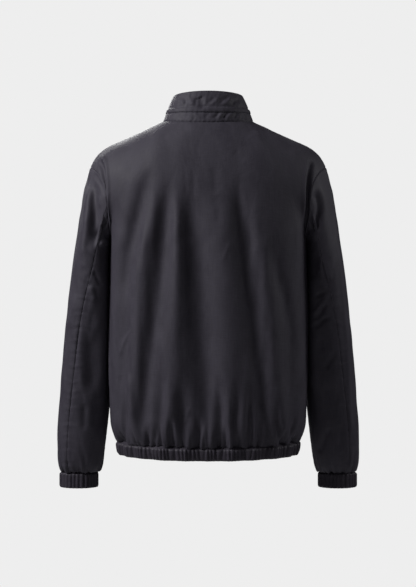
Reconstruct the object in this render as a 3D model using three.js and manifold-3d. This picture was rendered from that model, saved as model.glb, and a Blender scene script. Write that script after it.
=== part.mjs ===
// A hip-length windbreaker, zipped up and filled out as it is worn: hollow, with its arms hanging.
// Millimetres, +Z up. The front faces -Y and the wearer's left is +X. The origin is the middle of
// the neck base, level with the points where the shoulder seams meet the collar.
// Each cut piece of cloth is a wall of its own, built as a grid of outer points and a grid of
// inner points, and neighbouring pieces stay a seam gap apart.
import * as THREE from 'three';
import { mergeVertices } from 'three/addons/utils/BufferGeometryUtils.js';
import Module from 'manifold-3d';

const { Vector3 } = THREE;

// Driving sizes
const wall = 2;
const seamGap = 0.3;
const armpitZ = -240;
const sleeveClearance = 1.2; // between the hanging sleeve and the body
const widestY = 12; // the body is widest a little behind the middle
const sleeveSquareness = 2.2;
const armHollowSpread = 36; // how far round the side the hollow under the arm reaches
const zipHalfGap = 5; // from the centre front to each front edge
const shoulderForm = { centreTurn: 0.62, squareness: 2.1, cornerSpread: 0.3, armholeHold: 6 };
const hem = { sideZ: -636, backZ: -641, frontZ: -638, height: 25, taper: 3.5, ribs: 120, ribHeight: 2.2 };
const neck = { halfWidth: 90, back: 74, front: 84, sideZ: -1.5, backZ: -10, frontZ: -62 };
const collarTop = { halfWidth: 69.5, back: 58, front: 66, sideZ: 49.5, backZ: 53.5, frontZ: -2 };
const collar = { squareness: 2.2, fullness: 1, rows: 5, zDip: 1.8 };
const welt = { low: 0.34, high: 0.47, height: 1.2, frontTurn: 0.75 };
const cuff = { x: 261.6, y: -39, topZ: -704.3, height: 31, halfWidth: 39, depth: 31 };
const cuffRibs = { count: 24, height: 1.8 };
const tape = { inner: 2.2, outer: 15, thickness: 1.2, clearance: 0.5 };
const slider = { width: 8.4, length: 11, plate: 1.8, clearance: 0.3, post: 2.8 };
const bridge = { width: 2.4, length: 8.4, height: 4.6, bar: 1.3 };
const ribUneven = { swing: 0.22, quick: 2.3, slow: 0.7, edgeShare: 0.55 };
const pull = { width: 7, length: 34, thickness: 1.6, eyeWidth: 3.4, eyeLength: 5.2, rim: 1.6 };

// How many grid steps each stretch has; pieces that share a seam share its steps
const steps = { neck: 8, shoulder: 12, lower: 10, armhole: 12, sleeveBackSeam: 7, sleeveSettles: 7 };
const halfColumns = steps.neck + steps.shoulder;
const bodyRows = steps.lower + steps.armhole;
const rowCrowding = 1.5; // rows lie closer together towards the hem

// Sections of the body from the hem seam up to the armpit
const bodySections = [
  { z: -642, halfWidth: 180.5, back: 115.0, front: 111, armHollow: 0.0, square: 2.35 },
  { z: -622, halfWidth: 187.0, back: 121.5, front: 116, armHollow: 0.0, square: 2.45 },
  { z: -600, halfWidth: 191.2, back: 125.5, front: 121, armHollow: 0.0, square: 2.55 },
  { z: -560, halfWidth: 193.2, back: 127.5, front: 123, armHollow: 0.0, square: 2.60 },
  { z: -460, halfWidth: 194.2, back: 126.0, front: 122, armHollow: 0.0, square: 2.60 },
  { z: -360, halfWidth: 194.6, back: 124.0, front: 120, armHollow: 0.0, square: 2.60 },
  { z: -300, halfWidth: 195.2, back: 122.5, front: 118, armHollow: 2.5, square: 2.60 },
  { z: -240, halfWidth: 196.5, back: 121.0, front: 117, armHollow: 5.5, square: 2.60 }
];

// The shoulder seam from the neck to the end of the shoulder
const shoulderSeam = [
  { x: 128, y: 0, z: -19 },
  { x: 175, y: -1, z: -39.6 },
  { x: 198, y: -1, z: -49.5 },
  { x: 216, y: -2, z: -61.5 },
  { x: 228, y: -2, z: -75.5 },
  { x: 236, y: -2, z: -92 }
];

// The armhole seam from the armpit up to the end of the shoulder seam
const armholeBack = [
  { x: 193.5, y: 42, z: -227 },
  { x: 196.5, y: 60, z: -198 },
  { x: 198, y: 67, z: -162 },
  { x: 205, y: 59, z: -129 },
  { x: 219, y: 36, z: -106 }
];
const armholeFront = [
  { x: 193, y: -20, z: -228 },
  { x: 196, y: -47, z: -200 },
  { x: 199, y: -60, z: -162 },
  { x: 207, y: -53, z: -128 },
  { x: 221, y: -33, z: -105 }
];

// Sections of the left sleeve: its outer and inner edge, half its depth, the middle of that depth,
// and where the back seam lies, in degrees from the outer edge round towards the back
const sleeveSections = [
  { outX: 236.0, outZ: -92, inX: 191.0, inZ: -240, depth: 70.0, y: 4, seam: 105 },
  { outX: 247.5, outZ: -134, inX: 193.8, inZ: -251, depth: 66.5, y: 0, seam: 104 },
  { outX: 255.8, outZ: -180, inX: 194.6, inZ: -264, depth: 67.0, y: -4, seam: 104 },
  { outX: 263.2, outZ: -226, inX: 195.4, inZ: -284, depth: 67.5, y: -8, seam: 101 },
  { outX: 270.0, outZ: -270, inX: 195.8, inZ: -310, depth: 67.5, y: -11, seam: 97 },
  { outX: 276.0, outZ: -316, inX: 196.0, inZ: -342, depth: 66.5, y: -15, seam: 88 },
  { outX: 281.4, outZ: -362, inX: 195.8, inZ: -378, depth: 65.0, y: -18, seam: 80 },
  { outX: 286.3, outZ: -405, inX: 195.8, inZ: -414, depth: 63.0, y: -22, seam: 74 },
  { outX: 290.7, outZ: -447, inX: 195.8, inZ: -452, depth: 60.0, y: -25, seam: 70 },
  { outX: 294.8, outZ: -490, inX: 196.0, inZ: -492, depth: 57.5, y: -28, seam: 67 },
  { outX: 298.4, outZ: -532, inX: 197.0, inZ: -532, depth: 55.0, y: -31, seam: 64 },
  { outX: 301.6, outZ: -573, inX: 199.6, inZ: -573, depth: 52.0, y: -33, seam: 62 },
  { outX: 304.5, outZ: -613, inX: 204.0, inZ: -613, depth: 49.5, y: -35, seam: 61 },
  { outX: 305.4, outZ: -649, inX: 208.3, inZ: -649, depth: 47.0, y: -37, seam: 60 },
  { outX: 305.2, outZ: -672, inX: 211.7, inZ: -672, depth: 44.0, y: -38, seam: 60 },
  { outX: 303.4, outZ: -690, inX: 215.0, inZ: -690, depth: 39.0, y: -38.5, seam: 60 },
  { outX: 299.8, outZ: -704, inX: 219.5, inZ: -704, depth: 32.5, y: -39, seam: 60 }
];

// Long folds of the back, from under the shoulders down to the hem: where each one runs, half its
// breadth and how far it stands out (in, where that is below zero)
const backFolds = [
  { topX: 104, topZ: -92, midX: 160, midZ: -300, endX: 167, endZ: -640, breadth: 17, rise: -6 },
  { topX: 108, topZ: -150, midX: 130, midZ: -300, endX: 150, endZ: -640, breadth: 15, rise: 4 },
  { topX: 76, topZ: -108, midX: 97, midZ: -310, endX: 132, endZ: -640, breadth: 20, rise: -9 },
  { topX: 60, topZ: -120, midX: 60, midZ: -330, endX: 78, endZ: -640, breadth: 18, rise: 5 },
  { topX: 34, topZ: -112, midX: 19, midZ: -330, endX: 3, endZ: -640, breadth: 28, rise: -9 },
  { topX: -24, topZ: -140, midX: -36, midZ: -330, endX: -45, endZ: -640, breadth: 24, rise: 4 },
  { topX: -61, topZ: -112, midX: -85, midZ: -330, endX: -118, endZ: -640, breadth: 17, rise: -8 },
  { topX: -86, topZ: -130, midX: -115, midZ: -350, endX: -140, endZ: -640, breadth: 14, rise: 3 },
  { topX: -112, topZ: -220, midX: -152, midZ: -370, endX: -168, endZ: -640, breadth: 12, rise: -4 }
];

// Softer folds of each front, the same on both sides
const frontFolds = [
  { topX: 150, topZ: -150, midX: 146, midZ: -340, endX: 150, endZ: -640, breadth: 20, rise: 5 },
  { topX: 112, topZ: -110, midX: 114, midZ: -330, endX: 120, endZ: -640, breadth: 16, rise: -6 },
  { topX: 78, topZ: -120, midX: 84, midZ: -330, endX: 88, endZ: -640, breadth: 17, rise: 6 },
  { topX: 52, topZ: -180, midX: 54, midZ: -380, endX: 50, endZ: -640, breadth: 14, rise: -4 }
];

// Folds die out from these shares of a panel's half width to its zip edge and its side seam
const foldEdges = { zip: 0.17, side: 0.78 };

// Short gathers over the elastic bands
const gather = { rise: 2.4, height: 75, columns: 3.2, sleeveRise: 2, sleeveHeight: 60, foldShare: 0.3 };

const quarter = Math.PI / 2;

function mix(a, b, share) {
  return a + (b - a) * share;
}

function smooth(low, high, value) {
  return THREE.MathUtils.smoothstep(value, low, high);
}

function alongCurve(points) {
  const curve = new THREE.CatmullRomCurve3(points, false, 'centripetal');
  return share => curve.getPointAt(THREE.MathUtils.clamp(share, 0, 1));
}

// A quarter of a rounded oval, from its middle (turn 0) to its side (turn 1)
function oval(halfWidth, reach, turn, squareness) {
  const s = Math.sin(turn * quarter);
  const c = Math.max(Math.cos(turn * quarter), 0);
  const scale = (s ** squareness + c ** squareness) ** (-1 / squareness);
  return [halfWidth * s * scale, reach * c * scale];
}

function tableReader(rows) {
  const columns = Object.keys(rows[0]).filter(key => key !== 'z');
  const heights = rows.map(row => row.z);
  const values = rows.flatMap(row => columns.map(key => row[key]));
  const curve = new THREE.CubicInterpolant(heights, values, columns.length);
  return z => {
    const read = curve.evaluate(z);
    return Object.fromEntries(columns.map((key, i) => [key, read[i]]));
  };
}

const sectionAt = tableReader(bodySections);

// The front pieces start at the zip, so their widths are shifted out from it
function clearOfZip(x, halfWidth) {
  return zipHalfGap + x * (1 - zipHalfGap / halfWidth);
}

// A point of the body wall: turn goes from the centre (0) to the side seam (1), face is 1 behind
function bodyPoint(z, turn, face) {
  const section = sectionAt(z);
  const reach = face > 0 ? section.back - widestY : section.front + widestY;
  const [x, y] = oval(section.halfWidth, reach, turn, section.square);
  const hollow = section.armHollow * Math.exp(-((y / armHollowSpread) ** 2));
  const across = face > 0 ? x : clearOfZip(x, section.halfWidth);
  return new Vector3(across - hollow, widestY + face * y, z);
}

function hemZ(turn, face) {
  const centreZ = face > 0 ? hem.backZ : hem.frontZ;
  return mix(hem.sideZ, centreZ, Math.cos(turn * quarter) ** 2);
}

// A point of a ring round the neck, the collar's base or its top edge
function neckRing(ring, turn, face) {
  const [x, y] = oval(ring.halfWidth, face > 0 ? ring.back : ring.front, turn, collar.squareness);
  const centreZ = face > 0 ? ring.backZ : ring.frontZ;
  const z = mix(ring.sideZ, centreZ, Math.max(Math.cos(turn * quarter), 0) ** collar.zDip);
  return new Vector3(face > 0 ? x : clearOfZip(x, ring.halfWidth), face * y, z);
}

const neckSide = neckRing(neck, 1, 1);
const armpit = bodyPoint(armpitZ, 1, 1);
const asPoint = row => new Vector3(row.x ?? 0, row.y, row.z);
const shoulderLine = alongCurve([neckSide, ...shoulderSeam.map(asPoint)]);
const shoulderTip = shoulderLine(1);
const armholes = {
  back: alongCurve([armpit, ...armholeBack.map(asPoint), shoulderTip]),
  front: alongCurve([armpit, ...armholeFront.map(asPoint), shoulderTip])
};

// The neckline and then the shoulder seam, as one edge
function topEdge(u, face) {
  const neckShare = steps.neck / halfColumns;
  if (u <= neckShare) return neckRing(neck, u / neckShare, face);
  return shoulderLine((u - neckShare) / (1 - neckShare));
}

// The top edge as the cloth below it feels it: its corner at the neck softens further down
function softTopEdge(u, v, face) {
  const centreX = face > 0 ? 0 : zipHalfGap;
  const spread = shoulderForm.cornerSpread * (1 - v);
  const sum = new Vector3();
  for (const offset of [-1, -0.5, 0, 0.5, 1]) {
    const place = u + offset * spread;
    const point = topEdge(Math.min(Math.abs(place), 1), face);
    if (place < 0) point.x = 2 * centreX - point.x;
    sum.add(point);
  }
  return sum.divideScalar(5);
}

// Each column of the upper body rises straight from the armpit level and rounds over to the top
function risingColumn(u, v, face) {
  const low = bodyPoint(armpitZ, u, face);
  const top = softTopEdge(u, v, face);
  const turn = quarter * mix(shoulderForm.centreTurn, 1, smooth(0, steps.neck / halfColumns, u));
  const power = 2 / shoulderForm.squareness;
  const inward = (1 - Math.cos(turn * v) ** power) / (1 - Math.cos(turn) ** power);
  const upward = (Math.sin(turn * v) / Math.sin(turn)) ** power;
  return new Vector3(mix(low.x, top.x, v), mix(low.y, top.y, inward), mix(low.z, top.z, upward));
}

// The half of a back or front above the armpit, drawn out to its armhole edge
function upperPoint(u, v, face) {
  const armhole = face > 0 ? armholes.back : armholes.front;
  const pull = armhole(v).sub(risingColumn(1, v, face));
  const share = u ** (2 + shoulderForm.armholeHold * (1 - v) ** 6);
  return risingColumn(u, v, face).addScaledVector(pull, share);
}

// One half of the back or front as rows of points from the hem up, and columns from the centre out
function halfBody(face) {
  const grid = [];
  for (let i = 0; i <= bodyRows; i++) {
    const row = [];
    for (let j = 0; j <= halfColumns; j++) {
      const u = j / halfColumns;
      if (i < steps.lower) {
        const z = mix(hemZ(u, face), armpitZ, (i / steps.lower) ** rowCrowding);
        row.push(bodyPoint(z, u, face));
      } else {
        row.push(upperPoint(u, (i - steps.lower) / steps.armhole, face));
      }
    }
    grid.push(row);
  }
  return grid;
}

function mirrored(grid) {
  return grid.map(row => row.map(p => new Vector3(-p.x, p.y, p.z)).reverse());
}

// How far the folds of a table stand out at a place on a panel
function foldRise(folds, x, z) {
  let rise = 0;
  for (const fold of folds) {
    if (z > fold.topZ) continue;
    const upper = z > fold.midZ;
    const share = upper
      ? (fold.topZ - z) / (fold.topZ - fold.midZ)
      : (fold.midZ - z) / (fold.midZ - fold.endZ);
    const lineX = upper ? mix(fold.topX, fold.midX, share) : mix(fold.midX, fold.endX, share);
    const grow = upper ? smooth(0, 0.6, share) : 1;
    rise += fold.rise * grow * Math.exp(-(((x - lineX) / fold.breadth) ** 2));
  }
  return rise * mix(gather.foldShare, 1, smooth(hem.sideZ, hem.sideZ + gather.height, z));
}

// Directions that point out of the cloth, worked out from each grid's neighbours
function gridNormals(grid, closed) {
  const last = grid[0].length - 1;
  return grid.map((row, i) => row.map((p, j) => {
    const right = closed ? row[(j + 1) % last] : row[Math.min(j + 1, last)];
    const left = closed ? row[(j + last - 1) % last] : row[Math.max(j - 1, 0)];
    const above = grid[Math.min(i + 1, grid.length - 1)][j];
    const below = grid[Math.max(i - 1, 0)][j];
    return right.clone().sub(left).cross(above.clone().sub(below)).normalize();
  }));
}

function movedOut(grid, normals, distance) {
  return grid.map((row, i) => row.map((p, j) => {
    return p.clone().addScaledVector(normals[i][j], distance(p, i, j));
  }));
}

// The same directions laid level, so that folds move the cloth out but not up or down
function levelled(normals) {
  return normals.map(row => row.map(n => new Vector3(n.x, n.y, 0).normalize()));
}

// A closed wall between two grids of the same size; a closed grid runs right round
function wallGeometry(outer, inner, closed) {
  const rows = outer.length;
  const columns = outer[0].length - (closed ? 1 : 0);
  const positions = [];
  for (const grid of [outer, inner]) {
    for (const row of grid) row.slice(0, columns).forEach(p => positions.push(p.x, p.y, p.z));
  }
  const at = (side, i, j) => side * rows * columns + i * columns + (j % columns);
  const index = [];
  const quad = (a, b, c, d) => index.push(a, b, c, a, c, d);
  // An edge face is split from its lower outer point, so that both sides of a seam are split alike
  const edgeQuad = (inA, inB, outB, outA) => {
    if (positions[3 * outA + 2] < positions[3 * outB + 2]) quad(inB, outB, outA, inA);
    else quad(inA, inB, outB, outA);
  };
  const spans = closed ? columns : columns - 1;
  for (let i = 0; i < rows - 1; i++) {
    for (let j = 0; j < spans; j++) {
      quad(at(0, i, j), at(0, i, j + 1), at(0, i + 1, j + 1), at(0, i + 1, j));
      quad(at(1, i, j + 1), at(1, i, j), at(1, i + 1, j), at(1, i + 1, j + 1));
    }
  }
  for (let j = 0; j < spans; j++) {
    edgeQuad(at(1, 0, j), at(1, 0, j + 1), at(0, 0, j + 1), at(0, 0, j));
    edgeQuad(at(1, rows - 1, j + 1), at(1, rows - 1, j), at(0, rows - 1, j), at(0, rows - 1, j + 1));
  }
  if (!closed) {
    const end = columns - 1;
    for (let i = 0; i < rows - 1; i++) {
      edgeQuad(at(1, i + 1, 0), at(1, i, 0), at(0, i, 0), at(0, i + 1, 0));
      edgeQuad(at(1, i, end), at(1, i + 1, end), at(0, i + 1, end), at(0, i, end));
    }
  }
  const geometry = new THREE.BufferGeometry();
  geometry.setAttribute('position', new THREE.Float32BufferAttribute(positions, 3));
  geometry.setIndex(index);
  geometry.computeVertexNormals();
  return geometry;
}

// Draws a grid's free edges in by half a seam gap, along the cloth
function trimmed(grid, closed) {
  const rows = grid.length;
  const columns = grid[0].length;
  const half = seamGap / 2;
  const towards = (p, q) => q.clone().sub(p).setLength(half);
  return grid.map((row, i) => row.map((p, j) => {
    const moved = p.clone();
    if (i === 0) moved.add(towards(p, grid[1][j]));
    if (i === rows - 1) moved.add(towards(p, grid[rows - 2][j]));
    if (!closed && j === 0) moved.add(towards(p, row[1]));
    if (!closed && j === columns - 1) moved.add(towards(p, row[columns - 2]));
    return moved;
  }));
}

// Materials: dense black-grey nylon, its bands, the zip tape and the metal of the zip
const cloth = new THREE.MeshStandardMaterial({ color: 0x35343a, roughness: 0.62, metalness: 0 });
const band = new THREE.MeshStandardMaterial({ color: 0x302e34, roughness: 0.68, metalness: 0 });
const zipCloth = new THREE.MeshStandardMaterial({ color: 0x1f1e22, roughness: 0.8, metalness: 0 });
const metal = new THREE.MeshStandardMaterial({ color: 0x2a2a2e, roughness: 0.35, metalness: 0.8 });

// The cut pieces, as grids of outer points. Columns run anticlockwise as seen from above and rows
// run upwards, so that the outer face looks out
const pieces = [];

function addPiece(name, material, grid, normals = gridNormals(grid, false)) {
  pieces.push({ name, material, grid, normals });
}

// Gathers over the hem, which die out upwards
function hemGather(z, column) {
  const fade = 1 - smooth(0, gather.height, z - hem.sideZ);
  return gather.rise * fade * Math.cos((column / gather.columns) * 2 * Math.PI);
}

// The back is one piece, from the wearer's left side round to the right
function backGrid() {
  const grid = halfBody(1).map(row => {
    const right = row.slice(1).map(p => new Vector3(-p.x, p.y, p.z));
    return [...row].reverse().concat(right);
  });
  return movedOut(grid, levelled(gridNormals(grid, false)), (p, i, j) => {
    const column = Math.abs(halfColumns - j);
    const edgeFade = 1 - smooth(foldEdges.side, 1, column / halfColumns);
    return (foldRise(backFolds, p.x, p.z) + hemGather(p.z, column)) * edgeFade;
  });
}

// The left front, from the zip to the side seam
function frontGrid() {
  const grid = halfBody(-1);
  return movedOut(grid, levelled(gridNormals(grid, false)), (p, i, j) => {
    const across = j / halfColumns;
    const edgeFade = smooth(0, foldEdges.zip, across) * (1 - smooth(foldEdges.side, 1, across));
    return (foldRise(frontFolds, p.x, p.z) + hemGather(p.z, j)) * edgeFade;
  });
}

// A ring of the left sleeve, from the outer edge round the back, the inner edge and the front
function sleeveRing(section) {
  const outer = new Vector3(section.outX, section.y, section.outZ);
  const inner = new Vector3(section.inX, section.y, section.inZ);
  const middle = outer.clone().lerp(inner, 0.5);
  const across = outer.clone().sub(middle);
  const seam = THREE.MathUtils.degToRad(section.seam);
  const ring = [];
  for (let k = 0; k <= 2 * steps.armhole; k++) {
    let angle = Math.PI * (k / steps.armhole);
    if (k < steps.sleeveBackSeam) angle = seam * (k / steps.sleeveBackSeam);
    else if (k < steps.armhole) {
      const share = (k - steps.sleeveBackSeam) / (steps.armhole - steps.sleeveBackSeam);
      angle = mix(seam, Math.PI, share);
    }
    const c = Math.cos(angle);
    const s = Math.sin(angle);
    const power = sleeveSquareness;
    const scale = (Math.abs(c) ** power + Math.abs(s) ** power) ** (-1 / power);
    const point = middle.clone().addScaledVector(across, c * scale);
    point.y += section.depth * s * scale;
    ring.push(point);
  }
  return ring;
}

function armholePoint(k) {
  if (k <= steps.armhole) return armholes.back(1 - k / steps.armhole);
  return armholes.front(k / steps.armhole - 1);
}

// How far out the body's side reaches at a place beside it
function bodySideX(y, z) {
  const section = sectionAt(Math.min(z, armpitZ));
  const away = y - widestY;
  const reach = away > 0 ? section.back - widestY : section.front + widestY;
  const part = Math.min(Math.abs(away) / reach, 1) ** section.square;
  const hollow = section.armHollow * Math.exp(-((away / armHollowSpread) ** 2));
  return section.halfWidth * (1 - part) ** (1 / section.square) - hollow;
}

// The whole left sleeve, from the cuff up: below the armhole it settles into its own sections
function sleeveGrid() {
  const rings = sleeveSections.map(sleeveRing);
  const offsets = rings[0].map((p, k) => armholePoint(k).sub(p));
  const grid = rings.map((ring, i) => ring.map((p, k) => {
    const share = Math.max(1 - i / steps.sleeveSettles, 0) ** 2;
    p.addScaledVector(offsets[k], share);
    const clearX = bodySideX(p.y, p.z) + sleeveClearance;
    if (i > 0 && p.z < armpitZ) p.x = Math.max(p.x, clearX);
    return p;
  }));
  grid.reverse();
  const endZ = sleeveSections.at(-1).outZ;
  return movedOut(grid, levelled(gridNormals(grid, true)), (p, i, k) => {
    const fade = 1 - smooth(0, gather.sleeveHeight, p.z - endZ);
    return gather.sleeveRise * fade * Math.cos((k / gather.columns) * 2 * Math.PI);
  });
}

// The top sleeve runs from the underarm seam round the front and the outer edge to the back seam
function addSleeves() {
  const grid = sleeveGrid();
  const normals = gridNormals(grid, true);
  const topOf = rows => rows.map(row => [
    ...row.slice(steps.armhole, -1),
    ...row.slice(0, steps.sleeveBackSeam + 1)
  ]);
  const underOf = rows => rows.map(row => row.slice(steps.sleeveBackSeam, steps.armhole + 1));
  addPiece('sleeve_top_left', cloth, topOf(grid), topOf(normals));
  addPiece('sleeve_under_left', cloth, underOf(grid), underOf(normals));
  addPiece('sleeve_top_right', cloth, mirrored(topOf(grid)), mirrored(topOf(normals)));
  addPiece('sleeve_under_right', cloth, mirrored(underOf(grid)), mirrored(underOf(normals)));
}

// A ring from the left front edge round the back to the right front edge, from its left half
function around(count, pointAt) {
  const left = [];
  for (let j = 0; j < count; j++) left.push(pointAt(j / count, -1));
  for (let j = count; j >= 0; j--) left.push(pointAt(j / count, 1));
  const right = left.slice(0, -1).reverse().map(p => new Vector3(-p.x, p.y, p.z));
  return [...left, ...right];
}

function collarRow(share) {
  const top = around(steps.neck, (turn, face) => neckRing(collarTop, turn, face));
  const row = around(steps.neck, (turn, face) => neckRing(neck, turn, face));
  const bulge = collar.fullness * Math.sin(Math.PI * share);
  return row.map((p, j) => {
    const point = p.lerp(top[j], share);
    const out = new Vector3(point.x, point.y, 0).setLength(bulge);
    if (j === 0 || j === row.length - 1) out.x = 0;
    return point.add(out);
  });
}

function collarGrid() {
  const grid = [];
  for (let i = 0; i <= collar.rows; i++) grid.push(collarRow(i / collar.rows));
  return grid;
}

// The narrow welt across the back of the collar, made from the collar's points moved out
function weltWall() {
  const first = Math.round(steps.neck * welt.frontTurn);
  const cut = row => row.slice(first, row.length - first);
  const rows = [welt.low, (welt.low + welt.high) / 2, welt.high].map(collarRow);
  const normals = gridNormals(rows, false);
  const under = movedOut(rows, normals, () => seamGap).map(cut);
  const outer = movedOut(rows, normals, () => seamGap + welt.height).map(cut);
  return wallGeometry(outer, under, false);
}

// How far a rib stands out: high in the middle of the band, lower at its edges, no two alike
function ribRise(j, height, share) {
  if (j % 2 === 0) return 0;
  const uneven = 1 - ribUneven.swing * (1 - Math.sin(j * ribUneven.quick) * Math.cos(j * ribUneven.slow));
  return height * uneven * mix(ribUneven.edgeShare, 1, Math.sin(Math.PI * share));
}

// An elastic band: ribs on its outer points over a plain inside
function ribbedWall(rows, closed, ribHeight) {
  const normals = gridNormals(rows, closed);
  const inner = movedOut(rows, normals, () => -wall);
  const outer = movedOut(rows, normals, (p, i, j) => ribRise(j, ribHeight, i / (rows.length - 1)));
  return wallGeometry(outer, inner, closed);
}

// A point of the hem band: share goes from its lower edge, where it draws in, to its seam
function hemBandPoint(share, turn, face) {
  const point = bodyPoint(hemZ(turn, face), turn, face);
  const drawnIn = hem.taper * (1 - share) ** 2;
  const centre = new Vector3(face > 0 ? 0 : zipHalfGap, 0, point.z);
  point.lerp(centre, drawnIn / point.distanceTo(centre));
  return point.setZ(point.z - seamGap - hem.height * (1 - share));
}

function hemBandRows() {
  return [0, 0.5, 1].map(share => {
    return around(hem.ribs / 2, (turn, face) => hemBandPoint(share, turn, face));
  });
}

function cuffRows() {
  const rowAt = share => {
    const row = [];
    for (let j = 0; j <= 2 * cuffRibs.count; j++) {
      const angle = Math.PI * (j / cuffRibs.count);
      const x = cuff.x + cuff.halfWidth * Math.cos(angle);
      const y = cuff.y + cuff.depth * Math.sin(angle);
      row.push(new Vector3(x, y, cuff.topZ - cuff.height * (1 - share)));
    }
    return row;
  };
  return [0, 0.5, 1].map(rowAt);
}

// The direction from an edge point into its own piece, or null inside the piece
function runIn(grid, i, j) {
  const rows = grid.length;
  const columns = grid[0].length;
  const run = new Vector3();
  const p = grid[i][j];
  if (i === 0) run.add(grid[1][j]).sub(p);
  if (i === rows - 1) run.add(grid[rows - 2][j]).sub(p);
  if (j === 0) run.add(grid[i][1]).sub(p);
  if (j === columns - 1) run.add(grid[i][columns - 2]).sub(p);
  return run.lengthSq() > 0 ? run.normalize() : null;
}

// Where pieces meet they share one inward direction, so that their edges are mitred, unless they
// meet in a sharp fold inwards, where their walls part by themselves. The two limits are cosines
// of the angle between the pieces' outward directions
const mitreLimits = { ridge: -0.5, valley: 0.25 };

function mitreSeams() {
  const keyOf = p => p.toArray().map(value => Math.round(value * 100)).join();
  const meeting = new Map();
  for (const { grid, normals } of pieces) {
    grid.forEach((row, i) => row.forEach((p, j) => {
      const run = runIn(grid, i, j);
      if (!run) return;
      const key = keyOf(p);
      if (!meeting.has(key)) meeting.set(key, []);
      meeting.get(key).push({ normal: normals[i][j], own: normals[i][j].clone(), run });
    }));
  }
  for (const group of meeting.values()) {
    for (const edge of group) {
      for (const other of group) {
        if (other === edge) continue;
        const ridge = other.run.dot(edge.own) < 0;
        const limit = ridge ? mitreLimits.ridge : mitreLimits.valley;
        if (other.own.dot(edge.own) > limit) edge.normal.add(other.own);
      }
      edge.normal.normalize();
    }
  }
}

// The zip tapes lie behind the front edges, from the hem to the top of the collar
function tapeWall(front, frontNormals, collarPoints, collarNormals) {
  const step = 1 / halfColumns;
  const outward = new Vector3(0, -1, 0);
  const rows = [0, 0.5, 1].map(share => {
    const pair = [0, step].map(turn => hemBandPoint(share, turn, -1));
    return { pair, normals: [outward, outward] };
  });
  front.slice(0, -1).forEach((row, i) => {
    rows.push({ pair: row.slice(0, 2), normals: frontNormals[i].slice(0, 2) });
  });
  collarPoints.forEach((row, i) => {
    rows.push({ pair: row.slice(0, 2), normals: collarNormals[i].slice(0, 2) });
  });
  const layer = depth => rows.map(({ pair, normals }) => {
    const [p, q] = pair.map((point, k) => point.clone().addScaledVector(normals[k], -depth));
    const share = (tape.outer - p.x) / (q.x - p.x);
    return [new Vector3(tape.inner, p.y, p.z), p, p.clone().lerp(q, share)];
  });
  const depth = wall + tape.clearance;
  return wallGeometry(layer(depth), layer(depth + tape.thickness), false);
}

function mirroredGeometry(geometry) {
  const copy = geometry.clone().scale(-1, 1, 1);
  const index = copy.index.array;
  for (let i = 0; i < index.length; i += 3) [index[i], index[i + 1]] = [index[i + 1], index[i]];
  copy.computeVertexNormals();
  return copy;
}

// The slider and its pull, in their own frame: X across, Y up along the zip, Z out of the front
const tapeFace = -(wall + tape.clearance);
const plateInside = tapeFace + slider.clearance;
const plateFace = plateInside + slider.plate;
const pullAxis = { up: 1.2, out: plateFace + 1.4 };

// The slider from below: a front and a back plate with the tapes between them, and a post
function sliderSection() {
  const half = slider.width / 2;
  const post = slider.post / 2;
  const behind = tapeFace - tape.thickness - slider.clearance;
  const shape = new THREE.Shape();
  shape.moveTo(-half, plateInside).lineTo(-post, plateInside).lineTo(-post, behind);
  shape.lineTo(-half, behind).lineTo(-half, behind - slider.plate);
  shape.lineTo(half, behind - slider.plate).lineTo(half, behind).lineTo(post, behind);
  shape.lineTo(post, plateInside).lineTo(half, plateInside).lineTo(half, plateFace);
  shape.lineTo(-half, plateFace).closePath();
  return shape;
}

// The bridge that holds the pull, from the side: an arch with its feet sunk in the front plate
function bridgeSection() {
  const foot = plateFace - slider.plate / 3;
  const top = plateFace + bridge.height;
  const half = bridge.length / 2;
  const inside = half - bridge.bar;
  const corner = bridge.bar;
  const shape = new THREE.Shape();
  shape.moveTo(-half, foot).lineTo(-inside, foot).lineTo(-inside, top - bridge.bar);
  shape.lineTo(inside, top - bridge.bar).lineTo(inside, foot).lineTo(half, foot);
  shape.lineTo(half, top - corner).lineTo(half - corner, top);
  shape.lineTo(-half + corner, top).lineTo(-half, top - corner).closePath();
  return shape;
}

// The pull hangs from its top bar, which runs through the bridge
function pullShape() {
  const half = pull.width / 2;
  const high = pull.rim / 2;
  const low = high - pull.length;
  const round = pull.width / 3;
  const shape = new THREE.Shape();
  shape.moveTo(-half, high).lineTo(-half, low + round);
  shape.quadraticCurveTo(-half, low, -half + round, low).lineTo(half - round, low);
  shape.quadraticCurveTo(half, low, half, low + round).lineTo(half, high).closePath();
  const eye = new THREE.Path();
  const eyeHalf = pull.eyeWidth / 2;
  eye.moveTo(-eyeHalf, -high).lineTo(eyeHalf, -high).lineTo(eyeHalf, -high - pull.eyeLength);
  eye.lineTo(-eyeHalf, -high - pull.eyeLength).closePath();
  shape.holes.push(eye);
  return shape;
}

function extruded(shape, depth) {
  const geometry = new THREE.ExtrudeGeometry(shape, { depth, bevelEnabled: false, curveSegments: 5 });
  return geometry.translate(0, 0, -depth / 2);
}

// Turns a geometry so that its own X, Y and Z lie along the three given directions
function turned(geometry, x, y, z) {
  return geometry.applyMatrix4(new THREE.Matrix4().makeBasis(x, y, z));
}

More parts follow.
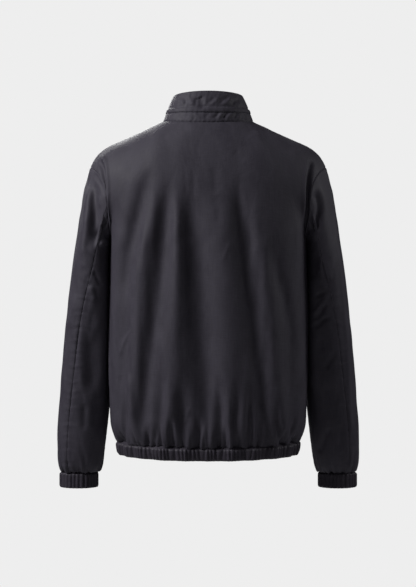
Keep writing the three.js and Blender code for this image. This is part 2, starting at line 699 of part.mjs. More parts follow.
async function sliderGeometry() {
  const wasm = await Module();
  wasm.setup();
  const across = new Vector3(1, 0, 0);
  const up = new Vector3(0, 1, 0);
  const out = new Vector3(0, 0, 1);
  const asSolid = geometry => {
    geometry.deleteAttribute('normal');
    geometry.deleteAttribute('uv');
    const merged = mergeVertices(geometry);
    const vertProperties = new Float32Array(merged.attributes.position.array);
    const triVerts = new Uint32Array(merged.index.array);
    return new wasm.Manifold(new wasm.Mesh({ numProp: 3, vertProperties, triVerts }));
  };
  const body = turned(extruded(sliderSection(), slider.length), across, out, up.clone().negate());
  const arch = turned(extruded(bridgeSection(), bridge.width), up, out, across);
  const mesh = asSolid(body).add(asSolid(arch)).getMesh();
  const geometry = new THREE.BufferGeometry();
  geometry.setAttribute('position', new THREE.BufferAttribute(mesh.vertProperties, 3));
  geometry.setIndex(new THREE.BufferAttribute(mesh.triVerts, 1));
  geometry.computeVertexNormals();
  return geometry;
}

// The object
const jacket = new THREE.Group();

function addMesh(name, geometry, material, parent = jacket) {
  const mesh = new THREE.Mesh(geometry, material);
  mesh.name = name;
  parent.add(mesh);
  return mesh;
}

addPiece('back', cloth, backGrid());
const frontLeft = frontGrid();
const frontNormals = gridNormals(frontLeft, false);
addPiece('front_left', cloth, frontLeft, frontNormals);
addPiece('front_right', cloth, mirrored(frontLeft), mirrored(frontNormals));
addSleeves();
const collarPoints = collarGrid();
const collarNormals = gridNormals(collarPoints, false);
addPiece('collar', cloth, collarPoints, collarNormals);
mitreSeams();

for (const piece of pieces) {
  const inner = movedOut(piece.grid, piece.normals, () => -wall);
  const geometry = wallGeometry(trimmed(piece.grid, false), trimmed(inner, false), false);
  addMesh(piece.name, geometry, piece.material);
}

addMesh('collar_welt', weltWall(), cloth);
addMesh('hem_band', ribbedWall(hemBandRows(), false, hem.ribHeight), band);
const cuffWall = ribbedWall(cuffRows(), true, cuffRibs.height);
addMesh('cuff_left', cuffWall, band);
addMesh('cuff_right', mirroredGeometry(cuffWall), band);

const tapeLeft = tapeWall(frontLeft, frontNormals, collarPoints, collarNormals);
addMesh('zip_tape_left', tapeLeft, zipCloth);
addMesh('zip_tape_right', mirroredGeometry(tapeLeft), zipCloth);

// The zip is closed, so its slider sits in the top stretch of the collar's front
const [low, high] = collarPoints.slice(-2).map(row => row[0].clone().setX(0));
const zipEnd = new THREE.Group();
zipEnd.position.copy(low).lerp(high, 0.5);
const alongZip = high.clone().sub(low).normalize();
const acrossZip = new Vector3(1, 0, 0);
const outOfZip = acrossZip.clone().cross(alongZip);
zipEnd.quaternion.setFromRotationMatrix(new THREE.Matrix4().makeBasis(acrossZip, alongZip, outOfZip));
jacket.add(zipEnd);
addMesh('zip_slider', await sliderGeometry(), metal, zipEnd);
const pullMesh = addMesh('zip_pull', extruded(pullShape(), pull.thickness), metal, zipEnd);
pullMesh.position.set(0, pullAxis.up, pullAxis.out);

export default jacket;
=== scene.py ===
import bpy
import bmesh
import math
import numpy as np
from mathutils import Matrix, Vector


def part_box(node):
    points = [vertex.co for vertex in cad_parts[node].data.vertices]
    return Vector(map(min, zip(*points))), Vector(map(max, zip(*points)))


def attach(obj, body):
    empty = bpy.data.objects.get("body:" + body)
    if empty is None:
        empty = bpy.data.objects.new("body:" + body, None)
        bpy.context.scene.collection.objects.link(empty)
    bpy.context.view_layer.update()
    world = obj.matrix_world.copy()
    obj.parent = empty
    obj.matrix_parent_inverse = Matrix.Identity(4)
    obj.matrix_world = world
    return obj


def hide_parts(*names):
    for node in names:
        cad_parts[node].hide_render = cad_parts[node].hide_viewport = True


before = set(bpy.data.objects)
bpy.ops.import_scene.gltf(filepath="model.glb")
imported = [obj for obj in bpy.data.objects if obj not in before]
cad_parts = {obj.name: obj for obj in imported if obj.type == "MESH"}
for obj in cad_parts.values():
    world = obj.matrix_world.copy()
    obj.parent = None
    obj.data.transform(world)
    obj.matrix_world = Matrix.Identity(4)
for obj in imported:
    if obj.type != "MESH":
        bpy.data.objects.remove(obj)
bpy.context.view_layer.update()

mm = 0.001
# faces with an edge shorter than this close a wall's rim and aren't its skin
clothRim = 2.6 * mm
tapeRim = 1.4 * mm


def newMesh(name, bm):
    mesh = bpy.data.meshes.new(name)
    bm.to_mesh(mesh)
    bm.free()
    return mesh


def newPiece(name, data):
    piece = bpy.data.objects.new(name, data)
    bpy.context.collection.objects.link(piece)
    return piece


def triangles(piece):
    return sum(len(p.vertices) - 2 for p in piece.data.polygons)


# reading the solids' outer skins back as rows and columns of points

def outerGrid(node, rimWidth):
    bm = bmesh.new()
    bm.from_mesh(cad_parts[node].data)
    bmesh.ops.remove_doubles(bm, verts=bm.verts, dist=1e-5)
    rims = [f for f in bm.faces if min(e.calc_length() for e in f.edges) < rimWidth]
    bmesh.ops.delete(bm, geom=rims, context="FACES")
    skins, seen = [], set()
    for first in bm.faces:
        if first in seen:
            continue
        seen.add(first)
        skin, stack = [], [first]
        while stack:
            face = stack.pop()
            skin.append(face)
            for near in (f for e in face.edges for f in e.link_faces if f not in seen):
                seen.add(near)
                stack.append(near)
        skins.append(skin)
    outer = max(skins, key=lambda skin: sum(f.calc_area() for f in skin))
    third, uses = {}, {}
    for face in outer:
        a, b, c = face.verts
        third.update({(a, b): c, (b, c): a, (c, a): b})
        for v in face.verts:
            uses[v] = uses.get(v, 0) + 1
    following = {a: b for a, b in third if (b, a) not in third}
    row = [min((v for v in following if uses[v] == 2), key=lambda v: v.co.z)]
    while uses[row[-1]] != 1:
        row.append(following[row[-1]])
    rows = [row]
    while (row[0], row[1]) in third:
        above = [third[pair] for pair in zip(row, row[1:])]
        row = [third[row[0], above[0]]] + above
        rows.append(row)
    grid = np.array([[v.co[:] for v in row] for row in rows])
    bm.free()
    return grid


def curveWeights(count, places):
    # weights that draw a smooth curve through evenly numbered points
    k = np.clip(np.floor(places).astype(int), 0, count - 2)
    t = places - k
    weights = np.zeros((len(places), count))
    parts = {
        -1: (-t + 2 * t**2 - t**3) / 2,
        0: (2 - 5 * t**2 + 3 * t**3) / 2,
        1: (t + 4 * t**2 - 3 * t**3) / 2,
        2: (t**3 - t**2) / 2,
    }
    lines = np.arange(len(places))
    for offset, part in parts.items():
        at = k + offset
        inside = (at >= 0) & (at < count)
        weights[lines[inside], at[inside]] += part[inside]
        for low, one, two in ((at < 0, 0, 1), (at >= count, count - 1, count - 2)):
            weights[lines[low], one] += 2 * part[low]
            weights[lines[low], two] -= part[low]
    return weights


def evenPlaces(steps, spacing, edgeLines):
    # evenly spaced lines across a grid, with closer ones along both edges
    reach = np.concatenate([[0], np.cumsum(steps)])
    count = max(2, round(reach[-1] / spacing))
    marks = np.linspace(0, reach[-1], count + 1)
    keep = marks[(marks > edgeLines[-1] * 1.6) & (marks < reach[-1] - edgeLines[-1] * 1.6)]
    marks = np.concatenate([edgeLines, keep, reach[-1] - np.array(edgeLines)[::-1]])
    return np.interp(marks, reach, np.arange(len(reach)))


def lineRun(line):
    # length run along a line of points, from the first
    return np.concatenate([[0], np.cumsum(np.linalg.norm(np.diff(line, axis=0), axis=1))])


def pointAlong(line, run, place):
    # the point, or other triple, that lies at a length along a line
    return [np.interp(place, run, line[:, axis]) for axis in range(3)]


def runLength(points, axis):
    # length run along a grid's rows or columns, from the first
    steps = np.linalg.norm(np.diff(points, axis=axis), axis=2)
    start = np.zeros_like(np.take(steps, [0], axis=axis))
    return np.concatenate([start, np.cumsum(steps, axis=axis)], axis=axis)


def outward(points):
    across = np.gradient(points, axis=1)
    up = np.gradient(points, axis=0)
    normals = np.cross(across, up)
    return normals / np.maximum(np.linalg.norm(normals, axis=2, keepdims=True), 1e-12)


class Cloth:
    # a cut piece: its fine grid of points, and how far each lies from the four edges, in mm
    def __init__(self, coarse, spacing, edgeLines=(0, 0.45, 1.0, 2.2)):
        mean = lambda axis: np.linalg.norm(np.diff(coarse, axis=axis), axis=2).mean(axis=1 - axis) / mm
        rows = curveWeights(coarse.shape[0], evenPlaces(mean(0), spacing, edgeLines))
        columns = curveWeights(coarse.shape[1], evenPlaces(mean(1), spacing, edgeLines))
        self.points = np.einsum("ri,ijk,cj->rck", rows, coarse, columns)
        self.refresh()

    def refresh(self):
        self.normals = outward(self.points)
        up = runLength(self.points, 0) / mm
        across = runLength(self.points, 1) / mm
        self.bottom, self.top = up, up[-1:] - up
        self.left, self.right = across, across[:, -1:] - across
        self.side, self.end = np.minimum(self.left, self.right), np.minimum(self.bottom, self.top)
        self.height = self.bottom / (self.bottom + self.top)
        self.x, self.y, self.z = (self.points[..., k] / mm for k in range(3))
        self.rise = np.zeros(self.x.shape)

    def settle(self):
        # moves every point out by the rise gathered so far
        self.points = self.points + self.normals * self.rise[..., None] * mm
        self.refresh()


def smooth(low, high, value):
    t = np.clip((value - low) / (high - low), 0, 1)
    return t * t * (3 - 2 * t)


def wander(along, seed):
    # an uneven wave of about one turn per unit, between -1 and 1
    a, b, c = (math.sin(seed * k) * 40 for k in (1.3, 2.7, 4.1))
    turns = 2 * math.pi * along
    return 0.5 * np.sin(turns + a) + 0.32 * np.sin(turns * 1.618 + b) + 0.28 * np.sin(turns * 0.583 + c)


def pucker(distance, along, pitch, height, reach, seed):
    # short waves that run in from a seam and die out
    fade = np.exp(-np.maximum(distance, 0) / reach)
    return height * fade * wander(along / pitch + 0.015 * distance * np.sin(along / 37), seed)


def gathers(distance, along, pitch, depth, reach, seed):
    # narrow troughs that run in from a seam, each of its own depth and length
    turn = along / pitch + 0.38 * wander(along / (4.3 * pitch), seed)
    valley = (0.5 + 0.5 * np.cos(2 * np.pi * turn)) ** 2.2
    number = np.round(turn)
    own = 0.62 + 0.38 * np.sin(number * 2.4 + seed) * np.cos(number * 1.1)
    length = reach * (0.75 + 0.45 * np.sin(number * 1.7 + 2 * seed))
    return -depth * own * valley * np.exp(-((np.maximum(distance, 0) / length) ** 1.6))


def fold(rise, width, *line, ends=(0.25, 0.25), lean=0.0):
    # a row of a fold table, in mm: a ridge, or a trough where rise is below zero, along points across and up;
    # rise and width may be several numbers, and ends are the shares of the line over which it fades in and out
    return {"line": line, "rise": rise, "width": width, "ends": ends, "lean": lean}


def crease(x, z, line, rise, width, ends, lean):
    # how far a fold lifts each point
    line = np.array(line, float)
    places = np.linspace(0, len(line) - 1, 6 * (len(line) - 1) + 1)
    line = curveWeights(len(line), places) @ line
    best = np.full(x.shape, 1e9)
    side = np.zeros(x.shape)
    share = np.zeros(x.shape)
    steps = np.linalg.norm(np.diff(line, axis=0), axis=1)
    run = np.concatenate([[0], np.cumsum(steps)]) / steps.sum()
    for k, (p, q) in enumerate(zip(line, line[1:])):
        d = q - p
        t = np.clip(((x - p[0]) * d[0] + (z - p[1]) * d[1]) / (d @ d), 0, 1)
        away = np.hypot(x - p[0] - t * d[0], z - p[1] - t * d[1])
        near = away < best
        best = np.where(near, away, best)
        side = np.where(near, np.sign(d[0] * (z - p[1]) - d[1] * (x - p[0])), side)
        share = np.where(near, run[k] + t * (run[k + 1] - run[k]), share)
    fade = 1.0
    for end, inward in zip(ends, (share, 1 - share)):
        if end:
            fade = fade * smooth(0, end, inward)
    rises, widths = (np.atleast_1d(np.array(v, float)) for v in (rise, width))
    high = np.interp(share, np.linspace(0, 1, len(rises)), rises)
    wide = np.interp(share, np.linspace(0, 1, len(widths)), widths) * (1 + lean * side)
    return high * fade * np.exp(-((best / wide) ** 2))


def unit(vectors):
    return vectors / np.maximum(np.linalg.norm(vectors, axis=2, keepdims=True), 1e-12)


def turnUnder(cloth, **edges):
    # each named edge sinks and runs on a little under its neighbour, so no seam stands open
    across, up = unit(np.gradient(cloth.points, axis=1)), unit(np.gradient(cloth.points, axis=0))
    beyond = {"left": -across, "right": across, "bottom": -up, "top": up}
    points = cloth.points.copy()
    for edge, (depth, overlap) in edges.items():
        distance = getattr(cloth, edge)
        cut = np.exp(-((distance / 0.5) ** 2))
        groove = -depth * cut - 0.5 * np.exp(-((distance / 1.6) ** 2))
        welt = 0.25 * np.exp(-(((distance - 3.4) / 1.8) ** 2))
        points += (cloth.normals * (groove + welt)[..., None] + beyond[edge] * (overlap * cut)[..., None]) * mm
    cloth.points = points
    cloth.refresh()


def clothMesh(name, cloth, thickness, closed=False):
    rows, columns = cloth.x.shape
    bm = bmesh.new()
    uv = bm.loops.layers.uv.new("cloth")
    bmesh.ops.create_grid(bm, x_segments=columns - 1, y_segments=rows - 1, size=1, calc_uvs=True)
    bm.verts.ensure_lookup_table()
    order = sorted(bm.verts, key=lambda v: (round(v.co.y, 5), round(v.co.x, 5)))
    width, height = cloth.left.max() * mm, cloth.bottom.max() * mm
    for face in bm.faces:
        for loop in face.loops:
            loop[uv].uv = (loop[uv].uv[0] * width, loop[uv].uv[1] * height)
    for v, place in zip(order, cloth.points.reshape(-1, 3)):
        v.co = place
    if closed:
        bmesh.ops.remove_doubles(bm, verts=bm.verts, dist=2e-5)
    for edge in bm.edges:
        edge.smooth = not edge.is_boundary
    for face in bm.faces:
        face.smooth = True
    piece = newPiece(name, newMesh(name, bm))
    shell = piece.modifiers.new("shell", "SOLIDIFY")
    shell.thickness = thickness
    shell.offset = -1
    shell.use_even_offset = False
    shell.use_quality_normals = True
    return piece


# materials

def nodeGroup(name, inputs, outputs):
    group = bpy.data.node_groups.new(name, "ShaderNodeTree")
    for label, kind, value in inputs:
        socket = group.interface.new_socket(label, in_out="INPUT", socket_type=kind)
        if value is not None:
            socket.default_value = value
    for label, kind in outputs:
        group.interface.new_socket(label, in_out="OUTPUT", socket_type=kind)
    return group, group.nodes.new("NodeGroupInput"), group.nodes.new("NodeGroupOutput")


def addNode(tree, kind, links=(), **values):
    node = tree.nodes.new(kind)
    for key, value in values.items():
        setattr(node, key, value)
    for socket, source in dict(links).items():
        if isinstance(source, bpy.types.NodeSocket):
            tree.links.new(source, node.inputs[socket])
        else:
            node.inputs[socket].default_value = source
    return node


def weaveGroup():
    # crossing threads, as a height from 0 to 1, from a length and a width in metres
    group, inputs, outputs = nodeGroup(
        "plainWeave",
        [("Vector", "NodeSocketVector", None), ("Threads", "NodeSocketFloat", 1600.0)],
        [("Height", "NodeSocketFloat")],
    )
    scaled = addNode(group, "ShaderNodeVectorMath", {0: inputs.outputs["Vector"]}, operation="SCALE")
    group.links.new(inputs.outputs["Threads"], scaled.inputs["Scale"])
    parts = addNode(group, "ShaderNodeSeparateXYZ", {0: scaled.outputs[0]})
    warp = addNode(group, "ShaderNodeMath", {0: parts.outputs["X"]}, operation="SINE")
    weft = addNode(group, "ShaderNodeMath", {0: parts.outputs["Y"]}, operation="SINE")
    crossed = addNode(group, "ShaderNodeMath", {0: warp.outputs[0], 1: weft.outputs[0]}, operation="MULTIPLY")
    height = addNode(group, "ShaderNodeMath", {0: crossed.outputs[0], 1: 0.5, 2: 0.5}, operation="MULTIPLY_ADD")
    group.links.new(height.outputs[0], outputs.inputs["Height"])
    return group


def crumpleGroup():
    # the slight unevenness of worn nylon: a height, and a mask for colour and gloss
    group, inputs, outputs = nodeGroup(
        "clothCrumple",
        [("Vector", "NodeSocketVector", None), ("Scale", "NodeSocketFloat", 40.0),
         ("Stretch", "NodeSocketFloat", 0.45)],
        [("Height", "NodeSocketFloat"), ("Mask", "NodeSocketFloat")],
    )
    squeeze = addNode(group, "ShaderNodeCombineXYZ", {0: 1.0, 1: 1.0, 2: inputs.outputs["Stretch"]})
    place = addNode(group, "ShaderNodeVectorMath", {0: inputs.outputs["Vector"], 1: squeeze.outputs[0]},
                    operation="MULTIPLY")
    broad = addNode(group, "ShaderNodeTexNoise", {
        "Vector": place.outputs[0], "Scale": inputs.outputs["Scale"], "Detail": 3.0, "Roughness": 0.55,
        "Distortion": 0.6})
    finer = addNode(group, "ShaderNodeMath", {0: inputs.outputs["Scale"], 1: 4.3}, operation="MULTIPLY")
    fine = addNode(group, "ShaderNodeTexNoise", {
        "Vector": place.outputs[0], "Scale": finer.outputs[0], "Detail": 2.0, "Roughness": 0.5})
    mixed = addNode(group, "ShaderNodeMath", {0: fine.outputs["Fac"], 1: 0.22, 2: broad.outputs["Fac"]},
                    operation="MULTIPLY_ADD")
    mask = addNode(group, "ShaderNodeMapRange", {"Value": broad.outputs["Fac"], "From Min": 0.34, "From Max": 0.66})
    group.links.new(mixed.outputs[0], outputs.inputs["Height"])
    group.links.new(mask.outputs[0], outputs.inputs["Mask"])
    return group


def slubGroup():
    # thicker and thinner threads that run across and down, as a shade about 1
    group, inputs, outputs = nodeGroup(
        "slubThreads",
        [("Vector", "NodeSocketVector", None), ("Scale", "NodeSocketFloat", 520.0), ("Amount", "NodeSocketFloat", 0.1)],
        [("Shade", "NodeSocketFloat")],
    )
    shades = []
    for squeeze in ((0.09, 1.0, 1.0), (1.0, 0.07, 1.0)):
        place = addNode(group, "ShaderNodeVectorMath", {0: inputs.outputs["Vector"], 1: squeeze}, operation="MULTIPLY")
        noise = addNode(group, "ShaderNodeTexNoise", {
            "Vector": place.outputs[0], "Scale": inputs.outputs["Scale"], "Detail": 1.0, "Roughness": 0.4})
        shades.append(noise.outputs["Fac"])
    summed = addNode(group, "ShaderNodeMath", {0: shades[0], 1: shades[1]}, operation="ADD")
    centred = addNode(group, "ShaderNodeMath", {0: summed.outputs[0], 1: 1.0}, operation="SUBTRACT")
    shade = addNode(group, "ShaderNodeMath", {0: centred.outputs[0], 1: inputs.outputs["Amount"], 2: 1.0},
                    operation="MULTIPLY_ADD")
    group.links.new(shade.outputs[0], outputs.inputs["Shade"])
    return group


plainWeave = weaveGroup()
slubThreads = slubGroup()
clothCrumple = crumpleGroup()


def newMaterial(name):
    material = bpy.data.materials.new(name)
    material.use_nodes = True
    return material, material.node_tree, material.node_tree.nodes["Principled BSDF"]


def unevenTone(tree, shader, where, look):
    # the crumple shades the gloss and a colour between dark and light
    crumple = addNode(tree, "ShaderNodeGroup", node_tree=clothCrumple)
    tree.links.new(where.outputs["Object"], crumple.inputs["Vector"])
    crumple.inputs["Scale"].default_value = look["crumpleScale"]
    crumple.inputs["Stretch"].default_value = look["stretch"]
    tone = addNode(tree, "ShaderNodeMix", data_type="RGBA")
    tree.links.new(crumple.outputs["Mask"], tone.inputs["Factor"])
    tone.inputs[6].default_value = (*look["dark"], 1)
    tone.inputs[7].default_value = (*look["light"], 1)
    least, most = look["roughness"]
    gloss = addNode(tree, "ShaderNodeMapRange", {"Value": crumple.outputs["Mask"], "To Min": least, "To Max": most})
    tree.links.new(gloss.outputs[0], shader.inputs["Roughness"])
    return crumple, tone


def clothMaterial(name, look):
    material, tree, shader = newMaterial(name)
    where = addNode(tree, "ShaderNodeTexCoord")
    weave = addNode(tree, "ShaderNodeGroup", node_tree=plainWeave)
    tree.links.new(where.outputs["UV"], weave.inputs["Vector"])
    weave.inputs["Threads"].default_value = look["threads"]
    crumple, tone = unevenTone(tree, shader, where, look)
    thread = addNode(tree, "ShaderNodeMix", data_type="RGBA", blend_type="MULTIPLY")
    thread.inputs["Factor"].default_value = look["threadShade"]
    tree.links.new(tone.outputs[2], thread.inputs[6])
    tree.links.new(weave.outputs["Height"], thread.inputs[7])
    slub = addNode(tree, "ShaderNodeGroup", node_tree=slubThreads)
    tree.links.new(where.outputs["UV"], slub.inputs["Vector"])
    slub.inputs["Amount"].default_value = look["slub"]
    shaded = addNode(tree, "ShaderNodeMix", data_type="RGBA", blend_type="MULTIPLY")
    shaded.inputs["Factor"].default_value = 1.0
    tree.links.new(thread.outputs[2], shaded.inputs[6])
    tree.links.new(slub.outputs["Shade"], shaded.inputs[7])
    tree.links.new(shaded.outputs[2], shader.inputs["Base Color"])
    folds = addNode(tree, "ShaderNodeBump", {
        "Height": crumple.outputs["Height"], "Strength": look["crumple"], "Distance": 0.004})
    threads = addNode(tree, "ShaderNodeBump", {
        "Height": weave.outputs["Height"], "Strength": look["weave"], "Distance": 0.0001, "Normal": folds.outputs[0]})
    tree.links.new(threads.outputs[0], shader.inputs["Normal"])
    shader.inputs["Specular IOR Level"].default_value = look["specular"]
    shader.inputs["Sheen Weight"].default_value = look["sheen"]
    shader.inputs["Sheen Roughness"].default_value = 0.35
    shader.inputs["Sheen Tint"].default_value = (0.72, 0.72, 0.85, 1)
    return material


nylonLook = {
    "dark": (0.0305, 0.0275, 0.0370), "light": (0.0370, 0.0338, 0.0445), "threadShade": 0.10, "threads": 5200.0,
    "roughness": (0.60, 0.70), "crumpleScale": 38.0, "stretch": 0.5, "crumple": 0.14, "weave": 0.12,
    "specular": 0.14, "sheen": 0.0, "slub": 0.32,
}
bandLook = dict(nylonLook, dark=(0.0265, 0.0232, 0.0312), light=(0.0328, 0.0287, 0.0378), roughness=(0.46, 0.54),
                crumple=0.2, crumpleScale=70.0)
tapeLook = dict(nylonLook, dark=(0.012, 0.0115, 0.014), light=(0.016, 0.015, 0.018), threadShade=0.5, threads=3400.0,
                roughness=(0.72, 0.82), weave=0.5, crumple=0.04, sheen=0.05, specular=0.3)
nylon = clothMaterial("charcoalNylon", nylonLook)
elastic = clothMaterial("gatheredElastic", bandLook)
tapeCloth = clothMaterial("zipTape", tapeLook)
print("materials ready")


finishes = {"shell_nylon": nylon, "elastic_band": elastic, "zip_tape": tapeCloth}


def dress(piece, slotName, node):
    piece.data.materials.append(finishes[slotName])
    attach(piece, "jacket")
    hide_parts(node)
    # the shell doubles the triangles given here, and its area is the cloth's own
    print(f"{piece.name}: {triangles(piece)} triangles, {sum(p.area for p in piece.data.polygons):.3f} square metres")


# the body

body = {"spacing": 2.85, "cloth": 0.0008, "hemPitch": 10.0, "hemHeight": 1.4, "hemDepth": 6.0, "hemReach": 24.0,
        "sideSwell": 3.8}

# long and short folds of the back
backCreases = [
    # what the five long folds need beside the solid's own
    fold((-3, -5, -6.5, -6, -4.5, -3.5), (12, 15, 16, 16, 13, 9), (98, -88), (110, -107), (123, -136), (133, -175),
         (143, -215), (154, -270), (162, -325), (168, -390)),
    fold((-5, -6.5, -5, -4, -3.5, -3.5, -3, -2), (9, 13, 16, 18, 18, 14, 11, 8), (74, -112), (79, -136), (81, -175),
         (82, -222), (85, -275), (90, -335), (98, -395), (109, -440), (116, -500), (124, -555), (129, -600),
         (131, -645), ends=(0.16, 0)),
    fold((-5, -5, -3.5, -3, -3, -3.5, -3, -2), (14, 19, 23, 25, 21, 15, 10, 7), (38, -116), (36, -150), (34, -185),
         (32, -222), (26, -275), (20, -345), (13, -400), (6, -450), (2, -500), (3, -555), (2, -600), (2, -645),
         ends=(0.16, 0)),
    fold((-4, -4.5, -3, -2, -1.5, -1.5, -2, -2), (9, 13, 17, 17, 15, 13, 10, 6), (-58, -112), (-58, -150),
         (-62, -190), (-67, -245), (-74, -305), (-81, -356), (-90, -415), (-98, -470), (-105, -525), (-110, -575),
         (-116, -612), (-121, -645), ends=(0.15, 0), lean=0.25),
    fold((-1, -2, -2, -1), (10, 11, 11, 9), (-124, -250), (-138, -310), (-150, -360), (-160, -415), (-166, -470),
         (-168, -530), ends=(0.2, 0.3)),
    fold((1, 2, 2, 1), (8, 14, 16, 14), (60, -130), (58, -215), (57, -300), (60, -400), (68, -470)),
    # short marks under the yoke
    fold(-0.5, 4, (44, -106), (43, -134), (42, -158)),
    fold(-0.8, 6, (29, -104), (28, -134), (28, -164)),
    fold(-1.2, 8, (-12, -96), (-12, -127), (-15, -156)),
    fold(-1, 8, (-14, -152), (-19, -184), (-19, -215)),
    fold(-1, 7, (-47, -69), (-72, -88)),
    fold(0.7, 3, (-42, -245), (-26, -286)),
    fold(1.2, 6, (-176, -194), (-171, -290)),
    # gathers that rise from the hem
    fold((-5.6, -8.4, -7), (8, 9, 7), (163, -515), (162, -560), (165, -606), (169, -645), ends=(0.6, 0)),
    fold(1.7, 3, (148, -410), (165, -443), (173, -471)),
    fold(3.2, 7, (152, -494), (150, -548), (146, -600), ends=(0.25, 0.3)),
    fold(-2.2, 6, (171, -500), (175, -548), (175, -592), ends=(0.15, 0.3)),
    fold(-4.8, 4, (115, -590), (118, -645), ends=(0.6, 0)),
    fold(-4.8, 4, (104, -594), (105, -645), ends=(0.6, 0)),
    fold((-4.2, -8.4, -10.5, -7), (9, 11, 11, 7), (87, -440), (89, -490), (92, -539), (94, -575), (96, -606),
         (92, -645), ends=(0.6, 0)),
    fold(-7, 6, (73, -570), (71, -606), (71, -645), ends=(0.6, 0)),
    fold((-4.2, -8.4, -9.8, -7), (9, 12, 11, 7), (53, -490), (51, -540), (49, -587), (48, -612), (50, -645),
         ends=(0.6, 0)),
    fold(-7, 6, (20, -570), (18, -606), (22, -645), ends=(0.6, 0)),
    fold((-4.9, -9.1, -7), (8, 10, 6), (-20, -490), (-22, -545), (-23, -590), (-21, -645), ends=(0.6, 0)),
    fold(-5.3, 4.5, (-33, -585), (-33, -645), ends=(0.6, 0)),
    fold((-4.2, -8.4, -7), (8, 9, 7), (-54, -490), (-55, -545), (-52, -590), (-55, -645), ends=(0.6, 0)),
    fold((-4.2, -7, -6.3), (6, 7, 6), (-80, -500), (-80, -560), (-82, -600), (-83, -645), ends=(0.6, 0)),
    fold(-4.8, 5, (-97, -570), (-98, -645), ends=(0.6, 0)),
    fold(-7, 7, (-137, -530), (-134, -587), (-140, -615), (-146, -645), ends=(0.6, 0)),
    fold(-6.2, 6.5, (-166, -575), (-165, -645), ends=(0.6, 0)),
    fold(4.2, 4, (8, -590), (14, -645), ends=(0.6, 0)),
    fold(1.5, 2.6, (35, -560), (46, -598)),
]

# sharp folds close beside the armholes and down the sides
armholeCreases = [
    fold((3, 3.5, 2.5, 2), 4.5, (213, -62), (202, -90), (198, -120), (195, -170), (192, -228), ends=(0.1, 0.2)),
    fold(-6, 4.5, (217, -76), (208, -98), (203, -125), (200, -165), ends=(0.15, 0.3)),
    fold((2, 3, 2.5), 4.5, (-198, -82), (-191, -110), (-188, -150), (-187, -222), ends=(0.1, 0.3)),
    fold((-6, -8, -7, -4), 4.8, (-205, -78), (-199, -104), (-196, -140), (-194, -200), (-192, -236),
         ends=(0.08, 0.2)),
]

# the fronts are the same on both sides, apart from the last rows of each
frontCreases = [
    fold(-3, 10, (112, -84), (128, -112), (138, -160), (142, -214)),
    fold(-3, 8, (84, -120), (90, -190), (97, -270), (108, -350)),
    fold(2, 10, (60, -210), (66, -320), (70, -420)),
    fold(2.6, 11, (130, -250), (126, -360), (134, -450)),
    fold(-3.6, 8, (100, -380), (104, -470), (116, -560), (118, -640), ends=(0.25, 0)),
    fold(3.2, 8, (78, -440), (80, -540), (88, -640), ends=(0.3, 0)),
    fold(3, 8, (150, -450), (147, -540), (152, -640), ends=(0.3, 0)),
    fold(-2.8, 6, (134, -520), (133, -590), (136, -640), ends=(0.3, 0)),
    fold(-2.8, 6, (62, -500), (60, -580), (64, -640), ends=(0.3, 0)),
    fold(2.6, 5, (44, -540), (46, -600), (42, -640), ends=(0.3, 0)),
    fold(2.6, 5, (102, -570), (100, -640), ends=(0.4, 0)),
    fold(-2.2, 5, (30, -570), (28, -640), ends=(0.4, 0)),
    fold(-2.4, 5, (166, -560), (168, -640), ends=(0.4, 0)),
]
leftOnly = [
    fold(1.2, 5, (120, -300), (110, -350), (96, -384)),
    fold(2.4, 4, (72, -592), (80, -640), ends=(0.4, 0)),
    fold(-1.4, 7, (54, -150), (60, -200)),
]
rightOnly = [
    fold(1.2, 5, (150, -330), (136, -372), (124, -398)),
    fold(2.2, 4, (112, -598), (106, -640), ends=(0.4, 0)),
    fold(-1.2, 8, (70, -230), (62, -300)),
]


def mirroredRows(rows):
    return [dict(row, line=[(-x, z) for x, z in row["line"]], lean=-row["lean"]) for row in rows]


def bodyCloth(node, creases, zipEdge=None):
    cloth = Cloth(outerGrid(node, clothRim), body["spacing"])
    for row in creases:
        cloth.rise += crease(cloth.x, cloth.z, **row)
    # a front has an armhole on one side only
    side = {None: cloth.side, "left": cloth.right, "right": cloth.left}[zipEdge]
    calm = smooth(0, 24, cloth.side) * smooth(0, 14, cloth.top)
    cloth.rise *= calm * (1 - 0.1 * smooth(-130, -90, cloth.z))
    hemRun = cloth.left[:1] + 0 * cloth.left
    cloth.rise += pucker(cloth.bottom, hemRun, body["hemPitch"] * 1.6, body["hemHeight"], body["hemReach"] * 1.4, 3)
    short = gathers(cloth.bottom, hemRun, body["hemPitch"], body["hemDepth"], body["hemReach"], 3)
    cloth.rise += short * (0.3 + 0.7 * smooth(0, 5, cloth.bottom))
    cloth.rise += 0.5 * wander(cloth.x / 74 + 0.4 * wander(cloth.z / 190, 2), 8) * calm
    near = smooth(0, 5, side) * smooth(0, 8, cloth.top)
    for row in armholeCreases:
        cloth.rise += crease(cloth.x, cloth.z, **row) * near
    tall = (0.65 * smooth(-640, -600, cloth.z) + 0.35 * smooth(-550, -500, cloth.z)) * (1 - smooth(-215, -175, cloth.z))
    cloth.rise += body["sideSwell"] * np.exp(-(((side - 7) / 11) ** 2)) * tall
    for edge, distance in (("left", cloth.left), ("right", cloth.right)):
        run = cloth.z[:, :1] if edge == "left" else cloth.z[:, -1:]
        cloth.rise += pucker(distance, run + 0 * distance, 15, 0.25, 9, 11)
    cloth.rise += pucker(cloth.top, cloth.x, 13, 0.25, 7, 17)
    cloth.settle()
    sewn = {"left": (2.2, 1.6), "right": (2.2, 1.6), "top": (2.2, 1.6), "bottom": (0.9, 2.6)}
    if zipEdge:
        sewn[zipEdge] = (1.0, 0)
    turnUnder(cloth, **sewn)
    return cloth


print("body panels")
